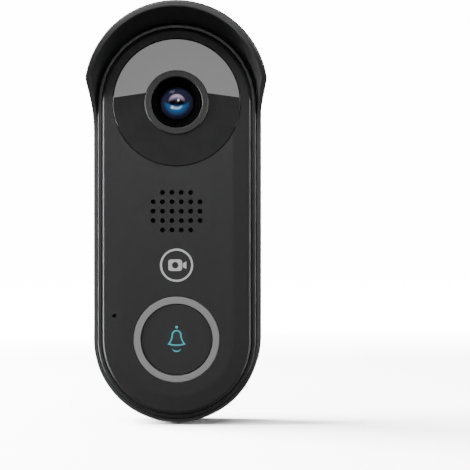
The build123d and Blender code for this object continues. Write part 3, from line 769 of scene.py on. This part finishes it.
@dataclass(frozen=True)
class StagePaint:
    """White that glows and scatters light.

    diffuse is the share of light that it scatters. Nearer the doorbell than clear, in metres, it hardly
    glows, so that shadows show there; 0 lets it glow everywhere.
    """

    name: str
    strength: float
    diffuse: float
    clear: float = 0.0
    fade: float = 3.0
    speck_size: float = 30 * MM
    speck_shade: float = 0.99
    roughness: float = 0.45
    unevenness: float = 0.05

    def material(self) -> bpy.types.Material:
        """Builds the finish.

        Returns:
            The material.
        """
        graph = Graph(self.name)
        speck = graph.noise(self.speck_size, FEW_LAYERS)
        white = graph.mix(speck, scaled(WHITE, self.speck_shade * self.diffuse), scaled(WHITE, self.diffuse))
        glow = WHITE
        if self.clear:
            reach = graph.node("ShaderNodeVectorMath", {"operation": "LENGTH"}, {0: graph.place}, "Value")
            glow = graph.mix(reach.ramp(self.clear, self.fade * self.clear), BLACK, WHITE)
        return graph.surface(base_color=white, roughness=self.roughness + speck * self.unevenness,
                             emission_color=glow, emission_strength=self.strength)


@dataclass
class Studio:
    """A pale floor, a white wall behind, soft lights and the camera. Lengths in metres."""

    stand_off: float = 0.680
    face_depth: float = 0.0286
    camera_x: float = 0.0211
    camera_z: float = -0.00505
    view_width: float = 0.1697
    window_z: float = 0.04285
    floor_reach: float = 4.0
    floor_front: float = -3.0
    wall_reach: float = 6.0
    wall_foot: float = -1.0
    wall_top: float = 5.0
    card_left: float = -90 * MM
    card_right: float = 40 * MM
    card_top: float = 125 * MM
    card_ends: float = 49 * MM
    world_grey: float = 0.17
    # the card's peaked lower edge between its ends: how far right, and how far above the window's centre
    card_foot: tuple = (
        (-66.1 * MM, 51.4 * MM), (-44.1 * MM, 54.7 * MM), (-21.5 * MM, 58.1 * MM), (1.0 * MM, 54.7 * MM),
        (24.5 * MM, 51.4 * MM),
    )

    def light_only(self, target: bpy.types.Object, lights: list[bpy.types.Object]) -> None:
        """Lets some lights fall on one staged object only, while everything still casts its shadow there.

        Args:
            target: what they fall on.
            lights: the lights.
        """
        receivers = bpy.data.collections.new(f"lit_{target.name}")
        receivers.objects.link(target)
        for light in lights:
            light.light_linking.receiver_collection = receivers

    def floor(self) -> bpy.types.Object:
        """Lays the floor under the doorbell's lowest point.

        Returns:
            The floor.
        """
        ground, reach, front = CAD_BOX[0].z, self.floor_reach, self.floor_front
        made = sheet("floor", [(-reach, front, ground), (reach, front, ground),
                               (reach, reach, ground), (-reach, reach, ground)])
        made.data.materials.append(StagePaint("floor_pale", 15.0, 0.85, 0.3).material())
        made.visible_diffuse = made.visible_glossy = False
        LOG.info("studio: floor at %.4f", ground)
        return made

    def backdrop(self) -> None:
        """Stands the white wall where the floor ends."""
        reach, depth = self.wall_reach, self.floor_reach
        made = sheet("backdrop", [(-reach, depth, self.wall_foot), (reach, depth, self.wall_foot),
                                  (reach, depth, self.wall_top), (-reach, depth, self.wall_top)])
        made.data.materials.append(StagePaint("backdrop_white", 15.0, 0.8).material())
        made.visible_diffuse = made.visible_glossy = made.visible_shadow = False

    def reflector(self, front: float) -> None:
        """Hangs a white card that the camera doesn't see, for the window to reflect.

        Args:
            front: where it hangs along Y.
        """
        foot = ((self.card_left, self.card_ends), *self.card_foot, (self.card_right, self.card_ends))
        edge = [(x, front, self.window_z + rise) for x, rise in foot]
        top = self.window_z + self.card_top
        made = sheet("reflector_card", edge + [(self.card_right, front, top), (self.card_left, front, top)])
        made.data.materials.append(StagePaint("card_white", 6.0, 0.0).material())
        made.visible_camera = made.visible_shadow = False

    def camera(self, front: float) -> None:
        """Sets up the camera, level and square to the wall.

        Args:
            front: where it stands along Y.
        """
        camera = bpy.data.cameras.new("camera")
        camera.lens = camera.sensor_width * self.stand_off / self.view_width
        made = bpy.data.objects.new("camera", camera)
        made.location = (self.camera_x, front, self.camera_z)
        made.rotation_euler = (math.pi / 2, 0, 0)
        bpy.context.scene.collection.objects.link(made)
        bpy.context.scene.camera = made

    def build(self) -> None:
        """Sets out floor, wall, reflector card, lights, world and camera."""
        front = -(self.face_depth + self.stand_off)
        floor = self.floor()
        self.backdrop()
        self.reflector(front)
        KEY_LAMP.hang()
        FILL_LAMP.hang().visible_glossy = False
        for lamp in SIDE_LAMPS:
            lamp.hang()
        self.light_only(floor, [lamp.hang() for lamp in FLOOR_LAMPS])
        world = bpy.data.worlds.new("studio")
        world.use_nodes = True
        grey = (*scaled(WHITE, self.world_grey), 1.0)
        world.node_tree.nodes["Background"].inputs["Color"].default_value = grey
        bpy.context.scene.world = world
        self.camera(front)


def main() -> None:
    """Dresses every sub-assembly and sets out the studio."""
    logging.basicConfig(level=logging.INFO, format="%(name)s: %(message)s")
    for assembly in (RainCover, Shells, CameraUnit, BellButton, Electronics):
        assembly.standard().dress()
    Studio().build()


if __name__ == "__main__":
    main()
